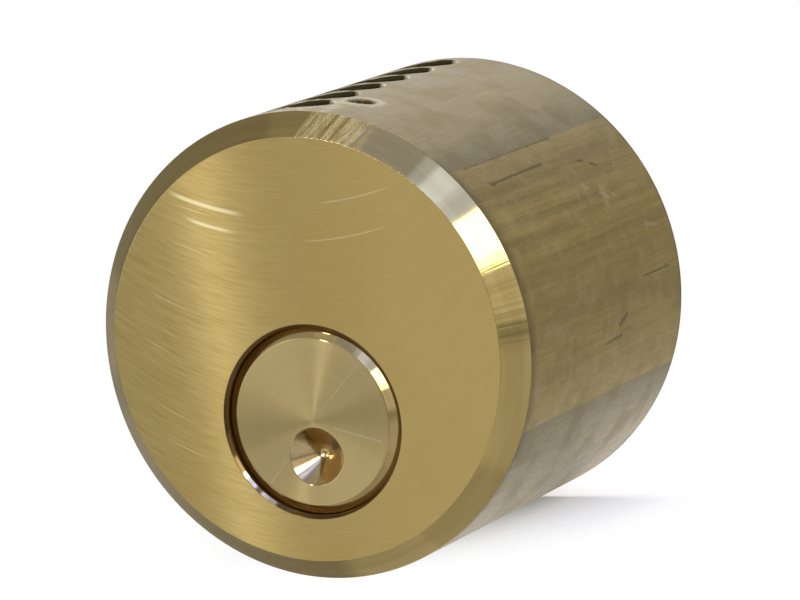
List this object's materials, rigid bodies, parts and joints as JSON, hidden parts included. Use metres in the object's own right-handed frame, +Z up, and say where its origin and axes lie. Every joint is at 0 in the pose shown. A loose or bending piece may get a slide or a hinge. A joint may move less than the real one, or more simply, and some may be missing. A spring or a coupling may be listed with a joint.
{
  "type": "dummy lock cylinder",
  "caption": "Round brass lock cylinder with a blank, dimpled plug below its axis, capped pin chambers on top and tapped fixing holes in the back.",
  "frame": {"origin": "on the axis of the round body, at its back face, midway between the two fixing holes", "axes": "+Y along the body's axis into the lock case, so the front face looks towards -Y; +Z up, from the plug to the pin chambers; +X to the right seen from the front"},
  "size_m": [0.032, 0.0275, 0.032],
  "materials": {
    "body_brass": "drawn bar with a linished face and a polished bevel",
    "plug_brass": "turned",
    "cap_brass": "punched and tarnished",
    "ring_steel": "blued spring steel",
    "pin_steel": "ground"
  },
  "bodies": {
    "root": {"cylinder_body": "body_brass", "dummy_plug": "plug_brass", "plug_retaining_ring": "ring_steel", "locking_pin_front": "pin_steel", "locking_pin_rear": "pin_steel", "chamber_cap_1": "cap_brass", "chamber_cap_2": "cap_brass", "chamber_cap_3": "cap_brass", "chamber_cap_4": "cap_brass", "chamber_cap_5": "cap_brass", "chamber_cap_6": "cap_brass"}
  },
  "joints": []
}
